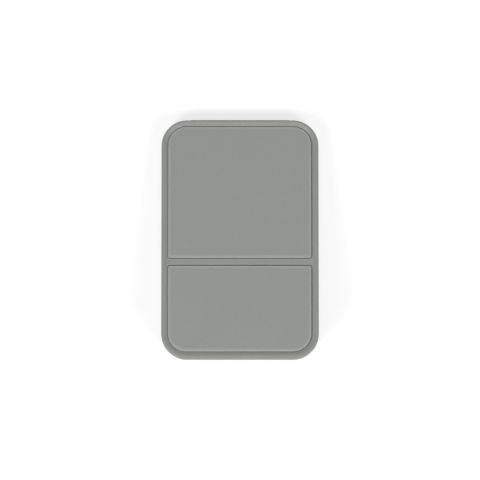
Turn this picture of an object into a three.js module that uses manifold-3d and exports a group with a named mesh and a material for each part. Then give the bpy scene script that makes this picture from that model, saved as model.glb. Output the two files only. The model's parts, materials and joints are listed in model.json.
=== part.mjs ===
// Height-adjustable door wedge: a moulded tray with a non-slip sole, and a hinged tread plate that a
// prop under its heel end holds up. Millimetres, X across, +Y to the thin toe, +Z up. The origin is on
// the floor, under the middle of the wedge.
import * as THREE from 'three';
import { mergeVertices } from 'three/addons/utils/BufferGeometryUtils.js';
import Module from 'manifold-3d';

const wasm = await Module();
wasm.setup();

// ---- Driving dimensions -------------------------------------------------------------------------
const WIDTH = 78.6; // across the tray and the tread plate
const LENGTH = 120; // hinge knuckle at the toe to heel wall
const SLOPE_DEG = 9.3; // of the closed tread plate
const CORNER_RADIUS = 13; // corners in plan of the tray and the tread plate

// Hinge at the toe
const KNUCKLE_RADIUS = 3;
const KNUCKLE_WIDTH = 49;
const KNUCKLE_FLOOR_CLEARANCE = 0.8;
const HINGE_PIN_RADIUS = 0.8;
const EAR_RADIUS = 1.4;
const EAR_WIDTH = 5;

// Tray
const WALL = 2;
const FLOOR = 2;
const SKIRT_CLEARANCE = 1; // tray skirt above the floor
const TOE_WALL_HEIGHT = 3.1; // top of the tray at its toe edge
const TOE_RELIEF = 5.4; // length of tray that slopes down to that
const TRAY_TOE_SETBACK = 0.65; // tray and plate toe edge behind the knuckle's front
const TRAY_RIB_X = 20;
const RIB = 1.6;
const NOTCH_WIDTH = 16;
const NOTCH_DEPTH = 3.5;
const NOTCH_FROM_HEEL = 18;

// Sole
const SOLE_THICKNESS = 2;
const SOLE_TOE_SETBACK = 8.5;
const GROOVE_PITCH = 6;
const GROOVE_WIDTH = 1.2;
const GROOVE_DEPTH = 0.8;
const GROOVE_BORDER = 5;

// Tread plate: heights are above the hinge axis, square to the plate
const PLATE_UNDERSIDE = 0.4;
const PLATE_TOP = 3.4; // of its raised outer rim
const RIM_EDGE_RADIUS = 0.7;
const COVE_DEPTH = 0.8; // field of the band and pads below the rim
const COVE_RUN = 2.1; // slope from that field up to the rim
const RECESS_DEPTH = 1.4; // pad seats below the rim
const PLATE_RIB_X = [16, 24];
const PLATE_RIB_DEPTH = 2.6;
const PLATE_RIB_TOE = 35;
const PLATE_RIB_HEEL = 5;

// Pads
const SIDE_BORDER = 3.4;
const TOE_BORDER = 3.4;
const HEEL_BORDER = 4.1;
const MID_BAND = 3.9;
const HEEL_PAD_LENGTH = 43.1;
const PAD_SHY = 0.2; // pads below the rim
const PAD_OUTER_RADIUS = 9.3;
const PAD_INNER_RADIUS = 1.2;
const PAD_EDGE_RADIUS = 0.5;

// Prop and its pivot under the plate
const PIVOT_DISTANCE = 85; // from the hinge axis, along the plate
const PROP_LENGTH = 24;
const FOOT_REST_CLEARANCE = 1.15; // foot above the tips of the steps when closed
const PROP_WIDTH = 19.4;
const PROP_THICKNESS = 2.4;
const PROP_WINDOW = 9;
const HUB_RADIUS = 2.8;
const FOOT_RADIUS = 1.3;
const PROP_PIN_RADIUS = 1.5;
const LUG_THICKNESS = 2.5;
const CLIP_THICKNESS = 0.6;
const CLIP_WALL = 1.3;
const CLIP_MOUTH = 1.8;
const PIN_TAIL = 0.8;

// Step rack on the tray floor
const RACK_WIDTH = 24;
const RACK_LENGTH = 17;
const RACK_TOE_Y = 0;
const RACK_THICKNESS = 1;
const STEP_HEIGHT = 0.6;
const STEP_PITCH = 2;
const STEP_COUNT = 4;
const SCREW_X = 8.5;
const SCREW_FROM_RACK_END = 3;
const SCREW_RADIUS = 1.1;
const SCREW_HEAD_RADIUS = 2.2;
const SCREW_HEAD_HEIGHT = 1.3;

// Rest buffers under the heel end of the plate
const BUFFER_X = 30;
const BUFFER_FROM_HEEL = 12;
const BUFFER_RADIUS = 3;
const BUFFER_HEIGHT = 2.4;
const BUFFER_STEM_RADIUS = 1.4;
const BUFFER_STEM_LENGTH = 4;
const POST_RADIUS = 4.2;

// Clearances
const GAP = 0.3; // between pieces that touch or turn past each other
const GLUE_LINE = 0.2;
const FIXED_FIT = 0.15; // round a pin or screw that doesn't turn in its hole

// ---- Sizes worked out from them -----------------------------------------------------------------
const SLOPE = THREE.MathUtils.degToRad(SLOPE_DEG);
const CURVE_STEPS = 12; // on a quarter turn
const ROUND_STEPS = 32; // on a full turn
const EDGE_STEPS = 3; // on a rounded edge
const FAR = 2 * LENGTH; // beyond every piece

const HEEL_Y = -LENGTH / 2;
const HINGE_Y = LENGTH / 2 - KNUCKLE_RADIUS;
const HINGE_Z = KNUCKLE_RADIUS + KNUCKLE_FLOOR_CLEARANCE;
const TRAY_TOE_Y = LENGTH / 2 - TRAY_TOE_SETBACK;
const FLOOR_UNDERSIDE = SOLE_THICKNESS + GLUE_LINE;
const FLOOR_TOP = FLOOR_UNDERSIDE + FLOOR;
const RIM = PLATE_UNDERSIDE - GAP; // tray rim, square to the plate above the hinge axis

const PLATE_TOE = (KNUCKLE_RADIUS - TRAY_TOE_SETBACK) / Math.cos(SLOPE);
const PLATE_HEEL = (HEEL_Y - HINGE_Y) / Math.cos(SLOPE);
const RECESS_FLOOR = PLATE_TOP - RECESS_DEPTH;
const PAD_BOTTOM = RECESS_FLOOR + GAP;
const PAD_TOP = PLATE_TOP - PAD_SHY;
const PAD_HALF_WIDTH = WIDTH / 2 - SIDE_BORDER;
const HEEL_PAD_HEEL = PLATE_HEEL + HEEL_BORDER;
const HEEL_PAD_TOE = HEEL_PAD_HEEL + HEEL_PAD_LENGTH;
const RAMP_PAD_HEEL = HEEL_PAD_TOE + MID_BAND;
const RAMP_PAD_TOE = PLATE_TOE - TOE_BORDER;

const EAR_INNER_X = KNUCKLE_WIDTH / 2 + GAP;
const EAR_OUTER_X = EAR_INNER_X + EAR_WIDTH;
const LUG_INNER_X = PROP_WIDTH / 2 + GAP;
const LUG_OUTER_X = LUG_INNER_X + LUG_THICKNESS;
const CLIP_INNER_X = LUG_OUTER_X + GAP;
const PROP_PIN_END_X = CLIP_INNER_X + CLIP_THICKNESS + GAP + PIN_TAIL;
const CLIP_INNER_RADIUS = PROP_PIN_RADIUS - FIXED_FIT;
const CLIP_GROOVE_RADIUS = CLIP_INNER_RADIUS - GAP;

const PIVOT_DROP = HUB_RADIUS + 2 * GAP - PLATE_UNDERSIDE;
const PIVOT_Z = HINGE_Z + PIVOT_DISTANCE * Math.sin(SLOPE) - PIVOT_DROP * Math.cos(SLOPE);
const RACK_BOTTOM = FLOOR_TOP + GLUE_LINE / 2;
const STEP_TIP = RACK_BOTTOM + RACK_THICKNESS + STEP_HEIGHT;
const FOOT_REST_Z = STEP_TIP + FOOT_REST_CLEARANCE + FOOT_RADIUS;
const PROP_REST = Math.asin((PIVOT_Z - FOOT_REST_Z) / PROP_LENGTH) - SLOPE; // below the closed plate

const SCREW_Y = RACK_TOE_Y - RACK_LENGTH + SCREW_FROM_RACK_END;
const BUFFER_Y = HEEL_Y + BUFFER_FROM_HEEL;
const POST_TOP = slopeHeight(BUFFER_Y, RIM) - BUFFER_HEIGHT;

// ---- Materials ----------------------------------------------------------------------------------
const greyPlastic = new THREE.MeshStandardMaterial({ color: '#929491', roughness: 0.62 });
const padRubber = new THREE.MeshStandardMaterial({ color: '#939592', roughness: 0.75 });
const soleRubber = new THREE.MeshStandardMaterial({ color: '#3a3b3b', roughness: 0.9 });
const zincSteel = new THREE.MeshStandardMaterial({ color: '#c3c5c8', roughness: 0.35, metalness: 1 });

// ---- Solids -------------------------------------------------------------------------------------

/** Height of the line that lies `above` the hinge axis, square to the closed plate, at a place on Y. */
function slopeHeight(y, above) {
  return HINGE_Z + (above - (y - HINGE_Y) * Math.sin(SLOPE)) / Math.cos(SLOPE);
}

/** A closed three.js geometry as a solid that can be cut and joined. */
function solid(geometry) {
  const bare = geometry.clone();
  bare.deleteAttribute('normal');
  bare.deleteAttribute('uv');
  const merged = mergeVertices(bare, 1e-4);
  const vertProperties = new Float32Array(merged.attributes.position.array);
  const triVerts = new Uint32Array(merged.index.array);
  return new wasm.Manifold(new wasm.Mesh({ numProp: 3, vertProperties, triVerts }));
}

/** A named mesh of a solid. */
function meshOf(name, shape, material) {
  const { vertProperties, triVerts } = shape.getMesh();
  const geometry = new THREE.BufferGeometry();
  geometry.setAttribute('position', new THREE.BufferAttribute(vertProperties, 3));
  geometry.setIndex(new THREE.BufferAttribute(triVerts, 1));
  geometry.computeVertexNormals();
  const mesh = new THREE.Mesh(geometry, material);
  mesh.name = name;
  return mesh;
}

/** A rectangle with rounded corners, symmetrical about X = 0. */
function outline(halfWidth, heel, toe, heelRadius, toeRadius) {
  const shape = new THREE.Shape();
  const quarter = Math.PI / 2;
  shape.absarc(halfWidth - heelRadius, heel + heelRadius, heelRadius, -quarter, 0);
  shape.absarc(halfWidth - toeRadius, toe - toeRadius, toeRadius, 0, quarter);
  shape.absarc(toeRadius - halfWidth, toe - toeRadius, toeRadius, quarter, 2 * quarter);
  shape.absarc(heelRadius - halfWidth, heel + heelRadius, heelRadius, 2 * quarter, 3 * quarter);
  shape.closePath();
  return shape;
}

/** An outline made solid between two heights. */
function slab(shape, bottom, top) {
  const settings = { depth: top - bottom, bevelEnabled: false, curveSegments: CURVE_STEPS };
  return solid(new THREE.ExtrudeGeometry(shape, settings).translate(0, 0, bottom));
}

/** A slab with a rounded top edge. */
function roundedSlab(shape, bottom, top, radius) {
  const settings = {
    depth: top - bottom,
    bevelThickness: radius,
    bevelSize: radius,
    bevelOffset: -radius,
    bevelSegments: EDGE_STEPS,
    curveSegments: CURVE_STEPS,
  };
  const raised = new THREE.ExtrudeGeometry(shape, settings).translate(0, 0, bottom - radius);
  return solid(raised).intersect(block([-FAR, FAR], [-FAR, FAR], [bottom, top + FAR]));
}

/** A rectangular block between the given limits on X, Y and Z. */
function block([left, right], [back, front], [bottom, top]) {
  const box = new THREE.BoxGeometry(right - left, front - back, top - bottom);
  return solid(box.translate((left + right) / 2, (back + front) / 2, (bottom + top) / 2));
}

/** A [y, z] outline made solid between two places on X. */
function bar(points, left, right) {
  const shape = new THREE.Shape(points.map(([y, z]) => new THREE.Vector2(y, z)));
  const geometry = new THREE.ExtrudeGeometry(shape, { depth: right - left, bevelEnabled: false });
  const across = new THREE.Vector3(1, 0, 0);
  const along = new THREE.Vector3(0, 1, 0);
  const up = new THREE.Vector3(0, 0, 1);
  geometry.applyMatrix4(new THREE.Matrix4().makeBasis(along, up, across));
  return solid(geometry.translate(left, 0, 0));
}

/** A round rod along X. */
function rod(radius, left, right, y = 0, z = 0) {
  const cylinder = new THREE.CylinderGeometry(radius, radius, right - left, ROUND_STEPS);
  return solid(cylinder.rotateZ(Math.PI / 2).translate((left + right) / 2, y, z));
}

/** A round post along Z. */
function post(radius, x, y, bottom, top) {
  const cylinder = new THREE.CylinderGeometry(radius, radius, top - bottom, ROUND_STEPS);
  return solid(cylinder.rotateX(Math.PI / 2).translate(x, y, (bottom + top) / 2));
}

/** The solid joined with a copy of `shape(side)` on each side of X = 0. */
function withPair(shape) {
  return shape(-1).add(shape(1));
}

/** Limits on X of something between `inner` and `outer`, on the given side. */
function sideLimits(side, inner, outer) {
  return side > 0 ? [inner, outer] : [-outer, -inner];
}

/** Everything under the line that lies `above` the hinge axis, square to the closed plate. */
function underSlope(above) {
  const heel = HEEL_Y - 1;
  const toe = TRAY_TOE_Y + 1;
  const points = [
    [heel, -LENGTH],
    [toe, -LENGTH],
    [toe, slopeHeight(toe, above)],
    [heel, slopeHeight(heel, above)],
  ];
  return bar(points, -WIDTH, WIDTH);
}

// ---- Tray ---------------------------------------------------------------------------------------

/** The tray's outside, up to the rim that the closed plate comes down to. */
function trayBlank() {
  const plan = outline(WIDTH / 2, HEEL_Y, TRAY_TOE_Y, CORNER_RADIUS, CORNER_RADIUS);
  const reliefY = TRAY_TOE_Y - TOE_RELIEF;
  const side = [
    [HEEL_Y, SKIRT_CLEARANCE],
    [TRAY_TOE_Y, SKIRT_CLEARANCE],
    [TRAY_TOE_Y, TOE_WALL_HEIGHT],
    [reliefY, slopeHeight(reliefY, RIM)],
    [HEEL_Y, slopeHeight(HEEL_Y, RIM)],
  ];
  return slab(plan, 0, LENGTH).intersect(bar(side, -WIDTH, WIDTH));
}

/** The hollow above the tray floor. */
function trayHollow() {
  const radius = CORNER_RADIUS - WALL;
  const plan = outline(WIDTH / 2 - WALL, HEEL_Y + WALL, TRAY_TOE_Y - WALL, radius, radius);
  return slab(plan, FLOOR_TOP, LENGTH);
}

/** Plan of the sole, grown by a clearance. */
function solePlan(clearance) {
  const inset = WALL + GAP - clearance;
  const radius = CORNER_RADIUS - inset;
  const toe = LENGTH / 2 - SOLE_TOE_SETBACK + clearance;
  return outline(WIDTH / 2 - inset, HEEL_Y + inset, toe, radius, radius);
}

/** Opening at the toe in which the knuckle turns. */
function knuckleSlot() {
  const limit = KNUCKLE_WIDTH / 2 + GAP;
  return block([-limit, limit], [HINGE_Y - KNUCKLE_RADIUS - GAP, LENGTH], [-LENGTH, LENGTH]);
}

/** Ear that carries one end of the hinge pin. */
function hingeEar(side) {
  const [left, right] = sideLimits(side, EAR_INNER_X, EAR_OUTER_X);
  const stem = block([left, right], [HINGE_Y - EAR_RADIUS, HINGE_Y + EAR_RADIUS], [FLOOR_UNDERSIDE, HINGE_Z]);
  return rod(EAR_RADIUS, left, right, HINGE_Y, HINGE_Z).add(stem);
}

/** Rib along the tray floor that carries the closed plate. */
function trayRib(side) {
  const x = side * TRAY_RIB_X;
  const ends = [HEEL_Y + WALL / 2, HINGE_Y - KNUCKLE_RADIUS - WALL];
  const rib = block([x - RIB / 2, x + RIB / 2], ends, [FLOOR_UNDERSIDE + FLOOR / 2, LENGTH]);
  return rib.intersect(underSlope(RIM));
}

/** Finger notch in the top of one side wall, under the plate's edge. */
function fingerNotch(side) {
  const y = HEEL_Y + NOTCH_FROM_HEEL;
  const radius = ((NOTCH_WIDTH / 2) ** 2 + NOTCH_DEPTH ** 2) / (2 * NOTCH_DEPTH);
  const z = slopeHeight(y, RIM) - NOTCH_DEPTH + radius;
  const [left, right] = sideLimits(side, WIDTH / 2 - 1.5 * WALL, WIDTH / 2 + WALL);
  return rod(radius, left, right, y, z);
}

/** Post that carries one rest buffer, with the hole for its stem. */
function bufferPost(side) {
  const x = side * BUFFER_X;
  const holeBottom = POST_TOP - BUFFER_STEM_LENGTH - GAP;
  const body = post(POST_RADIUS, x, BUFFER_Y, FLOOR_TOP - FLOOR / 2, POST_TOP);
  return body.subtract(post(BUFFER_STEM_RADIUS + FIXED_FIT, x, BUFFER_Y, holeBottom, POST_TOP + 1));
}

/** Hole in the tray floor for one rack screw. */
function screwHole(side) {
  return post(SCREW_RADIUS + FIXED_FIT, side * SCREW_X, SCREW_Y, 0, FLOOR_TOP + 1);
}

function baseTray() {
  const shell = trayBlank()
    .subtract(trayHollow())
    .subtract(slab(solePlan(GAP), -1, FLOOR_UNDERSIDE))
    .subtract(withPair(fingerNotch));
  const tray = shell
    .add(withPair(trayRib))
    .add(withPair(bufferPost))
    .subtract(knuckleSlot())
    .add(withPair(hingeEar))
    .subtract(rod(HINGE_PIN_RADIUS + FIXED_FIT, -WIDTH / 2, WIDTH / 2, HINGE_Y, HINGE_Z))
    .subtract(withPair(screwHole));
  return meshOf('base_tray', tray, greyPlastic);
}

function sole() {
  let body = slab(solePlan(0), 0, SOLE_THICKNESS);
  const limit = WIDTH / 2 - WALL - GROOVE_BORDER;
  const soleToe = LENGTH / 2 - SOLE_TOE_SETBACK;
  const last = Math.floor((LENGTH / 2 - GROOVE_BORDER - WALL) / GROOVE_PITCH);
  for (let i = -last; i <= last; i += 1) {
    const y = (i - 0.5) * GROOVE_PITCH;
    const inside = y > HEEL_Y + WALL + GROOVE_BORDER && y < soleToe - GROOVE_BORDER;
    if (inside) {
      const across = [y - GROOVE_WIDTH / 2, y + GROOVE_WIDTH / 2];
      body = body.subtract(block([-limit, limit], across, [-1, GROOVE_DEPTH]));
    }
  }
  return meshOf('sole', body, soleRubber);
}

function hingePin() {
  const body = rod(HINGE_PIN_RADIUS, -EAR_OUTER_X, EAR_OUTER_X, HINGE_Y, HINGE_Z);
  return meshOf('hinge_pin', body, zincSteel);
}

/** Rack of low steps that the foot of the prop stands on. */
function stepRack() {
  const top = RACK_BOTTOM + RACK_THICKNESS;
  const half = RACK_WIDTH / 2;
  let rack = block([-half, half], [RACK_TOE_Y - RACK_LENGTH, RACK_TOE_Y], [RACK_BOTTOM, top]);
  for (let i = 0; i < STEP_COUNT; i += 1) {
    const y = RACK_TOE_Y - STEP_PITCH * (i + 1.5);
    const tooth = [
      [y - STEP_PITCH / 2, top - RACK_THICKNESS / 2],
      [y + STEP_PITCH / 4, top - RACK_THICKNESS / 2],
      [y + STEP_PITCH / 4, top + STEP_HEIGHT],
      [y, top + STEP_HEIGHT],
    ];
    rack = rack.add(bar(tooth, -half, half));
  }
  const hole = (side) => post(SCREW_RADIUS + FIXED_FIT, side * SCREW_X, SCREW_Y, 0, top + 1);
  return meshOf('step_rack', rack.subtract(withPair(hole)), zincSteel);
}

/** Pan-head screw with a cross recess that holds the rack. */
function rackScrew(name, side) {
  const seat = RACK_BOTTOM + RACK_THICKNESS + GLUE_LINE / 2;
  const top = seat + SCREW_HEAD_HEIGHT;
  const x = side * SCREW_X;
  const arm = SCREW_HEAD_RADIUS * 0.6;
  const slot = SCREW_HEAD_RADIUS * 0.14;
  const cut = [top - SCREW_HEAD_HEIGHT / 2, top + 1];
  const screw = post(SCREW_HEAD_RADIUS, x, SCREW_Y, seat, top)
    .add(post(SCREW_RADIUS, x, SCREW_Y, FLOOR_UNDERSIDE + GLUE_LINE, seat + SCREW_HEAD_HEIGHT / 4))
    .subtract(block([x - arm, x + arm], [SCREW_Y - slot, SCREW_Y + slot], cut))
    .subtract(block([x - slot, x + slot], [SCREW_Y - arm, SCREW_Y + arm], cut));
  return meshOf(name, screw, zincSteel);
}

/** Rubber buffer that the closed plate comes down on. */
function restBuffer(name, side) {
  const x = side * BUFFER_X;
  const seat = POST_TOP + GLUE_LINE / 2;
  const head = post(BUFFER_RADIUS, x, BUFFER_Y, seat, seat + 2 * BUFFER_HEIGHT);
  const stem = post(BUFFER_STEM_RADIUS, x, BUFFER_Y, POST_TOP - BUFFER_STEM_LENGTH, seat + BUFFER_HEIGHT / 2);
  return meshOf(name, head.intersect(underSlope(RIM)).add(stem), soleRubber);
}

// ---- Tread plate, in its own frame: origin on the hinge axis, -Y to the heel, +Z square to it -----

/** Plan of a pad, grown by a clearance. */
function padPlan(heel, toe, heelRadius, toeRadius, clearance) {
  return outline(
    PAD_HALF_WIDTH + clearance,
    heel - clearance,
    toe + clearance,
    heelRadius + clearance,
    toeRadius + clearance,
  );
}

function rampPadPlan(clearance) {
  return padPlan(RAMP_PAD_HEEL, RAMP_PAD_TOE, PAD_INNER_RADIUS, PAD_OUTER_RADIUS, clearance);
}

function heelPadPlan(clearance) {
  return padPlan(HEEL_PAD_HEEL, HEEL_PAD_TOE, PAD_OUTER_RADIUS, PAD_INNER_RADIUS, clearance);
}

/** The sunken field of the pads and band, with a border that slopes up to the rim all round. */
function cove() {
  const field = padPlan(HEEL_PAD_HEEL, RAMP_PAD_TOE, PAD_OUTER_RADIUS, PAD_OUTER_RADIUS, GAP);
  const geometry = new THREE.ExtrudeGeometry(field, {
    depth: PLATE_TOP,
    bevelThickness: COVE_DEPTH,
    bevelSize: COVE_RUN,
    bevelSegments: 1,
    curveSegments: CURVE_STEPS,
  });
  return solid(geometry.translate(0, 0, PLATE_TOP));
}

/** Stiffening rib under the plate, between the tray's ribs. */
function plateRib(x) {
  const ends = [PLATE_HEEL + PLATE_RIB_HEEL, -PLATE_RIB_TOE];
  const heights = [PLATE_UNDERSIDE - PLATE_RIB_DEPTH, PLATE_UNDERSIDE + RIB / 2];
  return block([x - RIB / 2, x + RIB / 2], ends, heights);
}

/** Lug that carries one end of the prop's pin. */
function propLug(side) {
  const [left, right] = sideLimits(side, LUG_INNER_X, LUG_OUTER_X);
  const reach = [-PIVOT_DISTANCE - HUB_RADIUS, -PIVOT_DISTANCE + HUB_RADIUS];
  const stem = block([left, right], reach, [-PIVOT_DROP, PLATE_UNDERSIDE + RIB / 2]);
  return rod(HUB_RADIUS, left, right, -PIVOT_DISTANCE, -PIVOT_DROP).add(stem);
}

/** Round clearance over one hinge ear. */
function earClearance(side) {
  const [left, right] = sideLimits(side, KNUCKLE_WIDTH / 2, EAR_OUTER_X + GAP);
  return rod(EAR_RADIUS + GAP, left, right);
}

function treadFrame() {
  const plan = outline(WIDTH / 2, PLATE_HEEL, PLATE_TOE, CORNER_RADIUS, CORNER_RADIUS);
  let plate = roundedSlab(plan, PLATE_UNDERSIDE, PLATE_TOP, RIM_EDGE_RADIUS)
    .add(rod(KNUCKLE_RADIUS, -KNUCKLE_WIDTH / 2, KNUCKLE_WIDTH / 2))
    .subtract(cove())
    .subtract(slab(rampPadPlan(GAP), RECESS_FLOOR, PLATE_TOP))
    .subtract(slab(heelPadPlan(GAP), RECESS_FLOOR, PLATE_TOP))
    .subtract(withPair(earClearance))
    .subtract(rod(HINGE_PIN_RADIUS + GAP, -KNUCKLE_WIDTH, KNUCKLE_WIDTH))
    .add(withPair(propLug));
  for (const x of PLATE_RIB_X) {
    plate = plate.add(plateRib(x)).add(plateRib(-x));
  }
  const bore = rod(PROP_PIN_RADIUS + GAP, -LUG_OUTER_X - 1, LUG_OUTER_X + 1, -PIVOT_DISTANCE, -PIVOT_DROP);
  return meshOf('tread_frame', plate.subtract(bore), greyPlastic);
}

function pad(name, plan) {
  return meshOf(name, roundedSlab(plan, PAD_BOTTOM, PAD_TOP, PAD_EDGE_RADIUS), padRubber);
}

// ---- Prop, in its own frame: origin on its pivot, +Y to the foot ---------------------------------

function liftProp() {
  const half = PROP_WIDTH / 2;
  const thick = [-PROP_THICKNESS / 2, PROP_THICKNESS / 2];
  const middle = (HUB_RADIUS + PROP_LENGTH - FOOT_RADIUS) / 2;
  const window = [middle - PROP_WINDOW / 2, middle + PROP_WINDOW / 2];
  const prop = rod(HUB_RADIUS, -half, half)
    .add(block([-half, half], [0, PROP_LENGTH], thick))
    .add(rod(FOOT_RADIUS, -half, half, PROP_LENGTH))
    .subtract(block([-PROP_WINDOW / 2, PROP_WINDOW / 2], window, [-WIDTH, WIDTH]))
    .subtract(rod(PROP_PIN_RADIUS + GAP, -WIDTH, WIDTH));
  return meshOf('lift_prop', prop, zincSteel);
}

/** Pivot pin with a groove near each end for its clip. */
function propPin() {
  const groove = (side) => {
    const [left, right] = sideLimits(side, LUG_OUTER_X, CLIP_INNER_X + CLIP_THICKNESS + GAP);
    return rod(PROP_PIN_RADIUS + 1, left, right).subtract(rod(CLIP_GROOVE_RADIUS, left - 1, right + 1));
  };
  const pin = rod(PROP_PIN_RADIUS, -PROP_PIN_END_X, PROP_PIN_END_X).subtract(withPair(groove));
  return meshOf('prop_pin', pin, zincSteel);
}

/** Retaining clip, open at the bottom, that snaps into the groove of the pin. */
function propClip(name, side) {
  const [left, right] = sideLimits(side, CLIP_INNER_X, CLIP_INNER_X + CLIP_THICKNESS);
  const outer = CLIP_INNER_RADIUS + CLIP_WALL;
  const mouth = block([left - 1, right + 1], [-CLIP_MOUTH / 2, CLIP_MOUTH / 2], [-2 * outer, 0]);
  const ring = rod(outer, left, right).subtract(rod(CLIP_INNER_RADIUS, left - 1, right + 1));
  return meshOf(name, ring.subtract(mouth), zincSteel);
}

// ---- Assembly -----------------------------------------------------------------------------------

const prop = new THREE.Group();
prop.position.set(0, -PIVOT_DISTANCE, -PIVOT_DROP);
prop.rotation.x = -PROP_REST;
prop.add(liftProp());

const propPivot = new THREE.Group();
propPivot.position.copy(prop.position);
propPivot.add(propPin(), propClip('prop_clip_left', -1), propClip('prop_clip_right', 1));

const tread = new THREE.Group();
tread.position.set(0, HINGE_Y, HINGE_Z);
tread.rotation.x = -SLOPE;
tread.add(treadFrame(), pad('ramp_pad', rampPadPlan(0)), pad('heel_pad', heelPadPlan(0)), propPivot, prop);

const wedge = new THREE.Group();
wedge.add(
  baseTray(),
  sole(),
  hingePin(),
  stepRack(),
  rackScrew('rack_screw_left', -1),
  rackScrew('rack_screw_right', 1),
  restBuffer('rest_buffer_left', -1),
  restBuffer('rest_buffer_right', 1),
  tread,
);

export default wedge;
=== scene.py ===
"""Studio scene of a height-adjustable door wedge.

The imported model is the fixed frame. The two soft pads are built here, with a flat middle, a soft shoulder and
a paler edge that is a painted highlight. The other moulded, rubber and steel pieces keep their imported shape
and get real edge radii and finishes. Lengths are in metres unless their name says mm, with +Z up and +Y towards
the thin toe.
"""

from __future__ import annotations

import json
import logging
import math
from dataclasses import dataclass
from enum import Enum

import bmesh
import bpy
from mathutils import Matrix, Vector

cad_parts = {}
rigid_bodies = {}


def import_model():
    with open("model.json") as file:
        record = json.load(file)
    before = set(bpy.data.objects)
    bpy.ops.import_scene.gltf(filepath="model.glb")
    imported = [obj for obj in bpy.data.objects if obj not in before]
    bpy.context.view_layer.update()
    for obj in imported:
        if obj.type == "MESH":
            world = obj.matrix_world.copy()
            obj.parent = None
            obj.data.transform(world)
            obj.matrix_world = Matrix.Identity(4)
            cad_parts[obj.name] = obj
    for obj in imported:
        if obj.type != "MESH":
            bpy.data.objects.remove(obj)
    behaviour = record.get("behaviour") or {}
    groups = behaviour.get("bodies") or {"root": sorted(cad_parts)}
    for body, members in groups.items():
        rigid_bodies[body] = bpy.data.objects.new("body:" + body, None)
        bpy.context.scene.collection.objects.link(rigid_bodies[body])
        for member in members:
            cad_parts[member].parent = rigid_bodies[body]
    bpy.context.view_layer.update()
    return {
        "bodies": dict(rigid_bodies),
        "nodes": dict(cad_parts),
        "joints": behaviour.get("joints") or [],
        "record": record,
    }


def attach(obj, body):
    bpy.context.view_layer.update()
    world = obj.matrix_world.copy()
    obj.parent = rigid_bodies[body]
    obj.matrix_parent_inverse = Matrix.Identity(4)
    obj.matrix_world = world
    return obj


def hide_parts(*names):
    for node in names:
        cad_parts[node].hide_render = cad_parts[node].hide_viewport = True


log = logging.getLogger("door_wedge")

MM = 0.001
PAINTED_HIGHLIGHT_ATTRIBUTE = "painted_edge_highlight"  # of a mesh's points: 1 where the edge is painted paler as a highlight, 0 away from it
NOISE_SPAN = (0.3, 0.7)  # usual lowest and highest value of a noise pattern
CELL_SPAN = (0.0, 0.8)  # usual lowest and highest value of a cell pattern's distance


class Body(Enum):
    """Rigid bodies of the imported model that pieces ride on."""

    BASE = "base"
    TREAD = "tread"
    PROP = "prop"


class Slot(Enum):
    """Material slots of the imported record."""

    PLASTIC = "moulded_plastic"
    PAD = "pad_rubber"
    SOLE = "sole_rubber"
    STEEL = "zinc_steel"


# ---- Colour and node helpers ---------------------------------------------------------------------


def linear(hex_colour: str) -> tuple[float, float, float, float]:
    """Turn an sRGB hex colour into Blender's linear RGBA.

    Args:
        hex_colour: Six hex digits after a hash sign.

    Returns:
        The linear colour with alpha 1.
    """
    channels = [int(hex_colour[i : i + 2], 16) / 255 for i in (1, 3, 5)]
    red, green, blue = (c / 12.92 if c <= 0.04045 else ((c + 0.055) / 1.055) ** 2.4 for c in channels)
    return red, green, blue, 1.0


def add_node(
    tree: bpy.types.NodeTree, kind: str, settings: dict[str, object], inputs: dict[str | int, object]
) -> bpy.types.Node:
    """Add a node with its settings and links.

    Args:
        tree: The tree that the node goes into.
        kind: The node's type name.
        settings: Attributes set on the node itself.
        inputs: Input names or numbers, each with a value or with the output socket linked to it.

    Returns:
        The new node.
    """
    node = tree.nodes.new(kind)
    for name, value in settings.items():
        setattr(node, name, value)
    for name, value in inputs.items():
        if isinstance(value, bpy.types.NodeSocket):
            tree.links.new(value, node.inputs[name])
        else:
            node.inputs[name].default_value = value
    return node


def new_tree(name: str) -> tuple[bpy.types.Material, bpy.types.NodeTree]:
    """Make an empty node material.

    Args:
        name: The finish's name.

    Returns:
        The material and its node tree.
    """
    material = bpy.data.materials.new(name)
    material.use_nodes = True
    material.node_tree.nodes.clear()
    return material, material.node_tree


def shaded(
    tree: bpy.types.NodeTree,
    tone: bpy.types.NodeSocket,
    level: bpy.types.NodeSocket,
    span: tuple[float, float],
    factors: tuple[float, float],
) -> bpy.types.NodeSocket:
    """Darken or lighten a colour along with a level, such as the height of a fine relief.

    Args:
        tree: The finish's tree.
        tone: The colour.
        level: What the shade follows.
        span: The level's lowest and highest value.
        factors: What the colour is multiplied by at those two.

    Returns:
        The shaded colour.
    """
    factor = add_node(
        tree,
        "ShaderNodeMapRange",
        {},
        {
            "Value": level,
            "From Min": span[0],
            "From Max": span[1],
            "To Min": factors[0],
            "To Max": factors[1],
        },
    )
    product = add_node(
        tree,
        "ShaderNodeMix",
        {"data_type": "RGBA", "blend_type": "MULTIPLY"},
        {"Factor": 1.0, "A": tone, "B": factor.outputs["Result"]},
    )
    return product.outputs["Result"]


# ---- Finishes ------------------------------------------------------------------------------------


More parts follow.
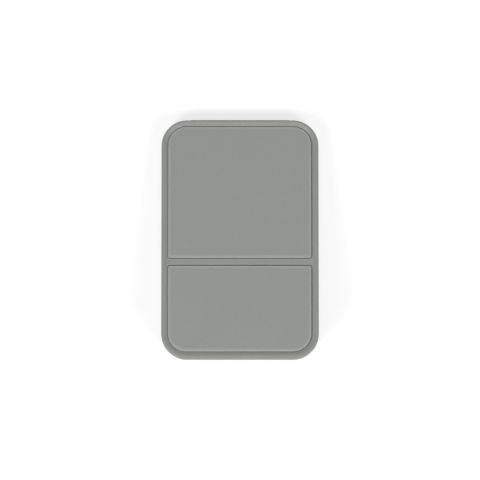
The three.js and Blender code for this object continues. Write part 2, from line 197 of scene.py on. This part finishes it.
@dataclass(frozen=True)
class SparkTexturedPlastic:
    """Polypropylene moulded in a spark-eroded tool, which gives an even, matte, finely pitted skin."""

    name: str = "Spark-textured polypropylene"
    colour: str = "#959794"
    shade: str = "#90928f"
    ior: float = 1.49
    roughness: float = 0.38
    roughness_spread: float = 0.05
    grain_mm: float = 0.35
    grain_depth_mm: float = 0.060
    painted_pit_shade: float = 0.07
    cloud_mm: float = 14.0

    def material(self) -> bpy.types.Material:
        """Build the finish.

        Returns:
            The plastic's material.
        """
        material, tree = new_tree(self.name)
        place = add_node(tree, "ShaderNodeTexCoord", {}, {})
        # Real pits are 0.1 to 0.2 mm across, too fine to show, so they are drawn at twice that.
        grain = add_node(
            tree,
            "ShaderNodeTexNoise",
            {},
            {"Vector": place.outputs["Object"], "Scale": 1 / (self.grain_mm * MM), "Detail": 3.0},
        )
        # Flow of the melt leaves slow clouds over a centimetre across, a shade darker and a little glossier.
        cloud = add_node(
            tree,
            "ShaderNodeTexNoise",
            {},
            {"Vector": place.outputs["Object"], "Scale": 1 / (self.cloud_mm * MM), "Detail": 4.0},
        )
        tone = add_node(
            tree,
            "ShaderNodeMix",
            {"data_type": "RGBA"},
            {"Factor": cloud.outputs["Fac"], "A": linear(self.colour), "B": linear(self.shade)},
        )
        gloss = add_node(
            tree,
            "ShaderNodeMapRange",
            {},
            {
                "Value": cloud.outputs["Fac"],
                "To Min": self.roughness + self.roughness_spread,
                "To Max": self.roughness - self.roughness_spread,
            },
        )
        bump = add_node(
            tree,
            "ShaderNodeBump",
            {},
            {"Height": grain.outputs["Fac"], "Strength": 1.0, "Distance": self.grain_depth_mm * MM},
        )
        # The pits are painted darker and the rises paler along with the grain's height: painted shade and light
        # that follow the relief.
        pits = (1 - self.painted_pit_shade, 1 + self.painted_pit_shade)
        colour = shaded(tree, tone.outputs["Result"], grain.outputs["Fac"], NOISE_SPAN, pits)
        shader = add_node(
            tree,
            "ShaderNodeBsdfPrincipled",
            {},
            {
                "Base Color": colour,
                "Roughness": gloss.outputs["Result"],
                "IOR": self.ior,
                "Normal": bump.outputs["Normal"],
            },
        )
        add_node(tree, "ShaderNodeOutputMaterial", {}, {"Surface": shader.outputs["BSDF"]})
        return material


@dataclass(frozen=True)
class MouldedRubber:
    """Rubber moulded in a blasted tool: matte, with a soft leathery grain and a dusty bloom."""

    name: str
    colour: str
    bloom: str
    roughness: float
    grain_mm: float
    grain_depth_mm: float
    roughness_spread: float = 0.05
    painted_hollow_shade: float = 0.05
    # How much paler the edges are painted, a painted highlight.
    painted_edge_highlight: float = 0.0
    ior: float = 1.52
    bloom_mm: float = 22.0

    def material(self) -> bpy.types.Material:
        """Build the finish.

        Returns:
            The rubber's material.
        """
        material, tree = new_tree(self.name)
        place = add_node(tree, "ShaderNodeTexCoord", {}, {})
        # A blasted tool leaves cells 0.1 to 0.3 mm across, too fine to show, so they are drawn coarser.
        grain = add_node(
            tree,
            "ShaderNodeTexVoronoi",
            {"feature": "SMOOTH_F1"},
            {"Vector": place.outputs["Object"], "Scale": 1 / (self.grain_mm * MM), "Smoothness": 0.6},
        )
        # Bloom lies in soft patches about 20 mm across.
        patches = add_node(
            tree,
            "ShaderNodeTexNoise",
            {},
            {"Vector": place.outputs["Object"], "Scale": 1 / (self.bloom_mm * MM), "Detail": 5.0},
        )
        tone = add_node(
            tree,
            "ShaderNodeMix",
            {"data_type": "RGBA"},
            {"Factor": patches.outputs["Fac"], "A": linear(self.colour), "B": linear(self.bloom)},
        )
        gloss = add_node(
            tree,
            "ShaderNodeMapRange",
            {},
            {
                "Value": patches.outputs["Fac"],
                "To Min": self.roughness - self.roughness_spread,
                "To Max": self.roughness + self.roughness_spread,
            },
        )
        bump = add_node(
            tree,
            "ShaderNodeBump",
            {},
            {"Height": grain.outputs["Distance"], "Strength": 1.0, "Distance": self.grain_depth_mm * MM},
        )
        # The hollows are painted darker and the rises paler along with the grain's height: painted shade and
        # light that follow the relief.
        hollows = (1 - self.painted_hollow_shade, 1 + self.painted_hollow_shade)
        grained = shaded(tree, tone.outputs["Result"], grain.outputs["Distance"], CELL_SPAN, hollows)
        # Edges are painted paler than the middle, a painted highlight on the rounded edge and shoulder. A piece
        # says where in its own attribute.
        edge = add_node(tree, "ShaderNodeAttribute", {"attribute_name": PAINTED_HIGHLIGHT_ATTRIBUTE}, {})
        colour = shaded(tree, grained, edge.outputs["Fac"], (0.0, 1.0), (1.0, 1 + self.painted_edge_highlight))
        shader = add_node(
            tree,
            "ShaderNodeBsdfPrincipled",
            {},
            {
                "Base Color": colour,
                "Roughness": gloss.outputs["Result"],
                "IOR": self.ior,
                "Normal": bump.outputs["Normal"],
            },
        )
        add_node(tree, "ShaderNodeOutputMaterial", {}, {"Surface": shader.outputs["BSDF"]})
        return material


@dataclass(frozen=True)
class ZincPlatedSteel:
    """Mild steel, drawn or stamped and zinc plated: a cool, satin metal with faint draw lines and spangle."""

    name: str = "Zinc-plated steel"
    colour: str = "#d2d5d8"
    dull: str = "#b9bdc2"
    roughness: float = 0.38
    bright_gain: float = 0.08
    dull_loss: float = 0.10
    line_mm: float = 0.12
    line_depth_mm: float = 0.004
    line_stretch: float = 40.0
    spangle_mm: float = 1.6

    def material(self) -> bpy.types.Material:
        """Build the finish.

        Returns:
            The steel's material.
        """
        material, tree = new_tree(self.name)
        place = add_node(tree, "ShaderNodeTexCoord", {}, {})
        # Draw lines run along X, so the pattern is stretched that way. Real ones lie about 0.03 mm apart, too
        # fine to show, so they are drawn four times as far apart.
        stretched = add_node(
            tree,
            "ShaderNodeMapping",
            {},
            {"Vector": place.outputs["Object"], "Scale": Vector((1 / self.line_stretch, 1, 1))},
        )
        lines = add_node(
            tree,
            "ShaderNodeTexNoise",
            {},
            {"Vector": stretched.outputs["Vector"], "Scale": 1 / (self.line_mm * MM), "Detail": 2.0},
        )
        spangle = add_node(
            tree,
            "ShaderNodeTexNoise",
            {},
            {"Vector": place.outputs["Object"], "Scale": 1 / (self.spangle_mm * MM), "Detail": 3.0},
        )
        tone = add_node(
            tree,
            "ShaderNodeMix",
            {"data_type": "RGBA"},
            {"Factor": spangle.outputs["Fac"], "A": linear(self.colour), "B": linear(self.dull)},
        )
        gloss = add_node(
            tree,
            "ShaderNodeMapRange",
            {},
            {
                "Value": spangle.outputs["Fac"],
                "To Min": self.roughness - self.bright_gain,
                "To Max": self.roughness + self.dull_loss,
            },
        )
        bump = add_node(
            tree,
            "ShaderNodeBump",
            {},
            {"Height": lines.outputs["Fac"], "Strength": 0.3, "Distance": self.line_depth_mm * MM},
        )
        shader = add_node(
            tree,
            "ShaderNodeBsdfPrincipled",
            {},
            {
                "Base Color": tone.outputs["Result"],
                "Metallic": 1.0,
                "Roughness": gloss.outputs["Result"],
                "Normal": bump.outputs["Normal"],
            },
        )
        add_node(tree, "ShaderNodeOutputMaterial", {}, {"Surface": shader.outputs["BSDF"]})
        return material


PAD_RUBBER = MouldedRubber(
    name="Moulded soft-touch rubber",
    colour="#919390",
    bloom="#949692",
    roughness=0.44,
    grain_mm=0.5,
    grain_depth_mm=0.045,
    # The pads' edges are painted up to 24 % paler, a painted highlight.
    painted_edge_highlight=0.24,
)
SOLE_RUBBER = MouldedRubber(
    name="Moulded sole rubber",
    colour="#353636",
    bloom="#444543",
    roughness=0.84,
    grain_mm=0.7,
    grain_depth_mm=0.03,
)


# ---- Shapes --------------------------------------------------------------------------------------


@dataclass(frozen=True)
class PlateFrame:
    """The closed plate's own frame: origin on the hinge axis, V along the plate, W square to it."""

    origin: Vector
    along: Vector
    square: Vector

    @classmethod
    def from_record(cls, frame: dict) -> PlateFrame:
        """Read the frame from the hinge and the ramp's face.


        Returns:
            The plate's frame.
        """
        hinge = next(j for j in frame["joints"] if j["name"] == "tread_lift")
        ramp = next(m for m in frame["record"]["mounts"] if m["name"] == "ramp_face")
        square = Vector(ramp["axis"]).normalized()
        along = Vector((0, square.z, -square.y))
        return cls(Vector(hinge["pos_m"]), along, square)

    def point(self, x: float, v: float, w: float) -> Vector:
        """Give the place in the row frame of a point of the plate."""
        return self.origin + Vector((x, 0, 0)) + self.along * v + self.square * w

    def extent(self, node: bpy.types.Object) -> tuple[Vector, Vector]:
        """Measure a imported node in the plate's frame.

        Args:
            node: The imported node's object.

        Returns:
            Its lowest and highest X, V and W.
        """
        offsets = [vertex.co - self.origin for vertex in node.data.vertices]
        points = [(o.x, o.dot(self.along), o.dot(self.square)) for o in offsets]
        return Vector(map(min, zip(*points))), Vector(map(max, zip(*points)))


@dataclass(frozen=True)
class PadOutline:
    """A pad's plan: a rectangle with its own corner radius at the heel end and at the toe end."""

    half_width: float
    heel: float
    toe: float
    heel_radius: float
    toe_radius: float
    least_radius: float = 0.05 * MM
    corner_steps: int = 14

    def loop(self, inset: float) -> list[tuple[float, float]]:
        """Give the outline moved in by a distance.

        Args:
            inset: How far inside the pad's edge it lies.

        Returns:
            Its points on X and V, the same number at every inset.
        """
        half = self.half_width - inset
        heel = self.heel + inset
        toe = self.toe - inset
        heel_radius = max(self.heel_radius - inset, self.least_radius)
        toe_radius = max(self.toe_radius - inset, self.least_radius)
        corners = (
            (half - heel_radius, heel + heel_radius, heel_radius, -90),
            (half - toe_radius, toe - toe_radius, toe_radius, 0),
            (toe_radius - half, toe - toe_radius, toe_radius, 90),
            (heel_radius - half, heel + heel_radius, heel_radius, 180),
        )
        points = []
        for x, v, radius, start in corners:
            for step in range(self.corner_steps + 1):
                turn = math.radians(start + 90 * step / self.corner_steps)
                points.append((x + radius * math.cos(turn), v + radius * math.sin(turn)))
        return points


def lofted(name: str, loops: list[list[Vector]], highlight_share: list[float]) -> bpy.types.Object:
    """Skin closed loops of equal length and close both ends.

    Args:
        name: The piece's name.
        loops: The loops, from the first end to the last.
        highlight_share: How far each loop lies in the edge that is painted paler as a highlight, from 0 to 1.

    Returns:
        The new object, linked to the scene.
    """
    shape = bmesh.new()
    # Each point's share of the painted edge highlight.
    edge = shape.verts.layers.float.new(PAINTED_HIGHLIGHT_ATTRIBUTE)
    rings = [[shape.verts.new(point) for point in loop] for loop in loops]
    for ring, amount in zip(rings, highlight_share):
        for vertex in ring:
            vertex[edge] = amount
    count = len(rings[0])
    for lower, upper in zip(rings, rings[1:]):
        for i in range(count):
            following = (i + 1) % count
            shape.faces.new((lower[i], lower[following], upper[following], upper[i]))
    shape.faces.new(reversed(rings[0]))
    shape.faces.new(rings[-1])
    bmesh.ops.recalc_face_normals(shape, faces=shape.faces)
    mesh = bpy.data.meshes.new(name)
    shape.to_mesh(mesh)
    shape.free()
    mesh.shade_smooth()
    piece = bpy.data.objects.new(name, mesh)
    bpy.context.scene.collection.objects.link(piece)
    return piece


@dataclass(frozen=True)
class EdgeRounding:
    """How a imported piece's facets are joined into faces and the edges between them rounded."""

    weld_mm: float = 0.002
    flat_degrees: float = 0.5
    sharp_degrees: float = 15.0
    segments: int = 3

    def apply(self, piece: bpy.types.Object, radius_mm: float) -> None:
        """Round a piece's sharp edges and shade the rest smooth.

        Args:
            piece: The object to round.
            radius_mm: The edge radius that the tool or press leaves.
        """
        weld = piece.modifiers.new("weld", "WELD")
        weld.merge_threshold = self.weld_mm * MM
        flatten = piece.modifiers.new("flatten", "DECIMATE")
        flatten.decimate_type = "DISSOLVE"
        flatten.angle_limit = math.radians(self.flat_degrees)
        bevel = piece.modifiers.new("edge radius", "BEVEL")
        bevel.width = radius_mm * MM
        bevel.segments = self.segments
        bevel.limit_method = "ANGLE"
        bevel.angle_limit = math.radians(self.sharp_degrees)
        bevel.harden_normals = True
        piece.data.shade_smooth()


def dress(piece: bpy.types.Object, material: bpy.types.Material) -> None:
    """Give a piece its finish.

    Args:
        piece: The object to dress.
        material: Its material.
    """
    piece.data.materials.clear()
    piece.data.materials.append(material)


# ---- Sub-assemblies ------------------------------------------------------------------------------


@dataclass
class TreadPads:
    """The two soft pads, flat in the middle, with a shoulder that falls to a rounded edge all round."""

    plate: PlateFrame
    outer_radius: float = 9.3 * MM
    inner_radius: float = 1.2 * MM
    side_shift: float = 0.18 * MM  # of each pad to the left in its recess
    side_trim: float = 0.04 * MM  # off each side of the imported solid
    outer_end_growth: float = 0.20 * MM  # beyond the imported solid, at the pad's own end of the plate
    base_chamfer: float = 0.15 * MM
    edge_radius: float = 0.28 * MM
    shoulder_width: float = 1.4 * MM
    shoulder_fall: float = 0.13 * MM  # from the flat middle down to the rounded edge
    round_steps: int = 6

    def build(self, frame: dict, material: bpy.types.Material) -> list[bpy.types.Object]:
        """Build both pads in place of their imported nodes.

        Args:
            material: The pads' rubber.

        Returns:
            The two pads.
        """
        pads = []
        for node, outer_end_at_toe in (("ramp_pad", True), ("heel_pad", False)):
            low, high = self.plate.extent(frame["nodes"][node])
            # Each pad is pushed home to the left and towards its own end of the plate, so the gap round it
            # is tighter on those sides.
            if outer_end_at_toe:
                ends = (low.y, high.y + self.outer_end_growth, self.inner_radius, self.outer_radius)
            else:
                ends = (low.y - self.outer_end_growth, high.y, self.outer_radius, self.inner_radius)
            outline = PadOutline(high.x - self.side_trim, *ends)
            section = self.section(low.z, high.z)
            loops = [
                [self.plate.point(x - self.side_shift, v, height) for x, v in outline.loop(inset)]
                for inset, height, _ in section
            ]
            pad = lofted(f"{node}_skin", loops, [highlight_share for _, _, highlight_share in section])
            even = pad.modifiers.new("even shading", "WEIGHTED_NORMAL")
            even.keep_sharp = True
            dress(pad, material)
            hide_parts(node)
            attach(pad, Body.TREAD.value)
            pads.append(pad)
        return pads

    def section(self, bottom: float, top: float) -> list[tuple[float, float, float]]:
        """Work out a pad's section from its underside to the flat inside its shoulder.

        Args:
            bottom: Height of its underside in the plate's frame.
            top: Height of its flat middle.

        Returns:
            Distance in from the pad's edge, height and share of the painted edge highlight of each loop.
        """
        # The base and the rounded edge get the full painted highlight, which fades out across the shoulder.
        section = [(self.base_chamfer, bottom, 1.0), (0.0, bottom + self.base_chamfer, 1.0)]
        slope = math.atan(2 * self.shoulder_fall / self.shoulder_width)
        crest = top - self.shoulder_fall - self.edge_radius * (1 - math.cos(slope))
        for step in range(self.round_steps + 1):
            turn = (math.pi / 2 - slope) * step / self.round_steps
            height = crest - self.edge_radius * (math.cos(slope) - math.sin(turn))
            section.append((self.edge_radius * (1 - math.cos(turn)), height, 1.0))
        start = section[-1][0]
        for step in range(1, self.round_steps + 1):
            share = step / self.round_steps
            height = top - self.shoulder_fall * (1 - share) ** 2
            section.append((start + self.shoulder_width * share, height, 1 - share))
        return section


@dataclass
class PackedPieces:
    """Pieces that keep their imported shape, with the edge radius and finish that their making gives."""

    plastic_edge_mm: float = 0.2
    rubber_edge_mm: float = 0.25
    steel_edge_mm: float = 0.15
    rounding: EdgeRounding = EdgeRounding()

    def build(self, frame: dict, finishes: dict[Slot, bpy.types.Material]) -> list[bpy.types.Object]:
        """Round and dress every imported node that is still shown.

        Args:
            finishes: The material of each slot.

        Returns:
            The dressed nodes.
        """
        edges = {
            Slot.PLASTIC: self.plastic_edge_mm,
            Slot.PAD: self.rubber_edge_mm,
            Slot.SOLE: self.rubber_edge_mm,
            Slot.STEEL: self.steel_edge_mm,
        }
        slots = {row["node"]: Slot(row["material_slot"]) for row in frame["record"]["subparts"]}
        shown = [(name, node) for name, node in sorted(frame["nodes"].items()) if not node.hide_render]
        for name, node in shown:
            slot = slots[name]
            self.rounding.apply(node, edges[slot])
            dress(node, finishes[slot])
        return [node for _, node in shown]


# ---- Studio --------------------------------------------------------------------------------------


@dataclass(frozen=True)
class Softbox:
    """A square soft light that looks at the wedge."""

    name: str
    place: tuple[float, float, float]
    watts: float
    size: float = 0.55

    def hang(self) -> None:
        """Add the light to the scene, out of the camera's sight."""
        data = bpy.data.lights.new(self.name, "AREA")
        data.shape = "SQUARE"
        data.size = self.size
        data.energy = self.watts
        light = bpy.data.objects.new(self.name, data)
        light.location = self.place
        light.rotation_euler = (-Vector(self.place)).to_track_quat("-Z", "Y").to_euler()
        light.visible_camera = False
        bpy.context.scene.collection.objects.link(light)


@dataclass
class Studio:
    """White floor and surround, a softbox off each heel corner, a weak one beyond the toe, and a camera."""

    camera_height: float = 2.9
    field_width: float = 0.240  # that the camera sees at the middle of the wedge's height
    object_middle_height: float = 0.015
    view_centre_y: float = -0.19 * MM
    sensor_mm: float = 36.0
    clip_range: tuple[float, float] = (0.1, 20.0)
    floor_radius: float = 3.0
    floor_sides: int = 96
    floor_gap: float = 0.05 * MM  # under the sole, so that their faces don't coincide
    floor_tone: float = 0.40
    floor_glow: float = 0.70  # where it is seen or reflected
    surround: float = 0.20  # strength of the even light on the wedge
    lights: tuple[Softbox, ...] = (
        Softbox("left softbox", (-0.75, -0.75, 0.95), 10.0),
        Softbox("right softbox", (0.75, -0.75, 0.95), 8.9),
        Softbox("toe softbox", (0.0, 0.90, 1.00), 2.8),
    )

    def build(self) -> None:
        """Set up the whole studio."""
        self.make_camera()
        self.make_world()
        self.make_floor()
        for light in self.lights:
            light.hang()
        bpy.context.scene.view_settings.view_transform = "Standard"

    def make_camera(self) -> None:
        """Hang the camera straight above the wedge, with the toe at the top of the picture."""
        data = bpy.data.cameras.new("camera")
        data.sensor_width = self.sensor_mm
        distance = self.camera_height - self.object_middle_height
        data.lens = self.sensor_mm * distance / self.field_width
        data.clip_start, data.clip_end = self.clip_range
        camera = bpy.data.objects.new("camera", data)
        camera.location = (0, self.view_centre_y, self.camera_height)
        bpy.context.scene.collection.objects.link(camera)
        bpy.context.scene.camera = camera

    def backdrop_ray(self, tree: bpy.types.NodeTree) -> bpy.types.NodeSocket:
        """Tell the rays that see the background from those that light the wedge.

        Args:
            tree: The node tree that needs to know.

        Returns:
            A socket that is 1 for camera, transmission and glossy rays, and 0 for the rest.
        """
        path = add_node(tree, "ShaderNodeLightPath", {}, {})
        seen = path.outputs["Is Camera Ray"]
        for kind in ("Is Transmission Ray", "Is Glossy Ray"):
            either = add_node(
                tree, "ShaderNodeMath", {"operation": "MAXIMUM"}, {0: seen, 1: path.outputs[kind]}
            )
            seen = either.outputs["Value"]
        return seen

    def make_world(self) -> None:
        """Surround the wedge with even light that looks white where it is seen or reflected."""
        world = bpy.data.worlds.new("white surround")
        world.use_nodes = True
        tree = world.node_tree
        tree.nodes.clear()
        strength = add_node(
            tree,
            "ShaderNodeMapRange",
            {},
            {"Value": self.backdrop_ray(tree), "To Min": self.surround, "To Max": 1.0},
        )
        sky = add_node(
            tree, "ShaderNodeBackground", {}, {"Color": (1, 1, 1, 1), "Strength": strength.outputs["Result"]}
        )
        add_node(tree, "ShaderNodeOutputWorld", {}, {"Surface": sky.outputs["Background"]})
        bpy.context.scene.world = world

    def make_floor(self) -> None:
        """Lay a wide floor under the wedge, white with a faint shadow from above and clear from beneath."""
        shape = bmesh.new()
        bmesh.ops.create_circle(shape, cap_ends=True, segments=self.floor_sides, radius=self.floor_radius)
        mesh = bpy.data.meshes.new("floor")
        shape.to_mesh(mesh)
        shape.free()
        floor = bpy.data.objects.new("floor", mesh)
        floor.location.z = -self.floor_gap
        bpy.context.scene.collection.objects.link(floor)
        material, tree = new_tree("White studio floor")
        glow = add_node(
            tree,
            "ShaderNodeMath",
            {"operation": "MULTIPLY"},
            {0: self.backdrop_ray(tree), 1: self.floor_glow},
        )
        shader = add_node(
            tree,
            "ShaderNodeBsdfPrincipled",
            {},
            {
                "Base Color": (self.floor_tone, self.floor_tone, self.floor_tone, 1),
                "Roughness": 1.0,
                "Specular IOR Level": 0.0,
                "Emission Color": (1, 1, 1, 1),
                "Emission Strength": glow.outputs["Value"],
            },
        )
        clear = add_node(tree, "ShaderNodeBsdfTransparent", {}, {})
        side = add_node(tree, "ShaderNodeNewGeometry", {}, {})
        surface = add_node(
            tree,
            "ShaderNodeMixShader",
            {},
            {0: side.outputs["Backfacing"], 1: shader.outputs["BSDF"], 2: clear.outputs["BSDF"]},
        )
        add_node(tree, "ShaderNodeOutputMaterial", {}, {"Surface": surface.outputs["Shader"]})
        mesh.materials.append(material)


def main() -> None:
    """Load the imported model, dress it, and set up the studio."""
    logging.basicConfig(level=logging.INFO, format="%(name)s: %(message)s")
    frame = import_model()
    Studio().build()
    finishes = {
        Slot.PLASTIC: SparkTexturedPlastic().material(),
        Slot.PAD: PAD_RUBBER.material(),
        Slot.SOLE: SOLE_RUBBER.material(),
        Slot.STEEL: ZincPlatedSteel().material(),
    }
    for pad in TreadPads(PlateFrame.from_record(frame)).build(frame, finishes[Slot.PAD]):
        log.info("pad %s: %d faces", pad.name, len(pad.data.polygons))
    for node in PackedPieces().build(frame, finishes):
        log.info("packed piece %s", node.name)


if __name__ == "__main__":
    main()
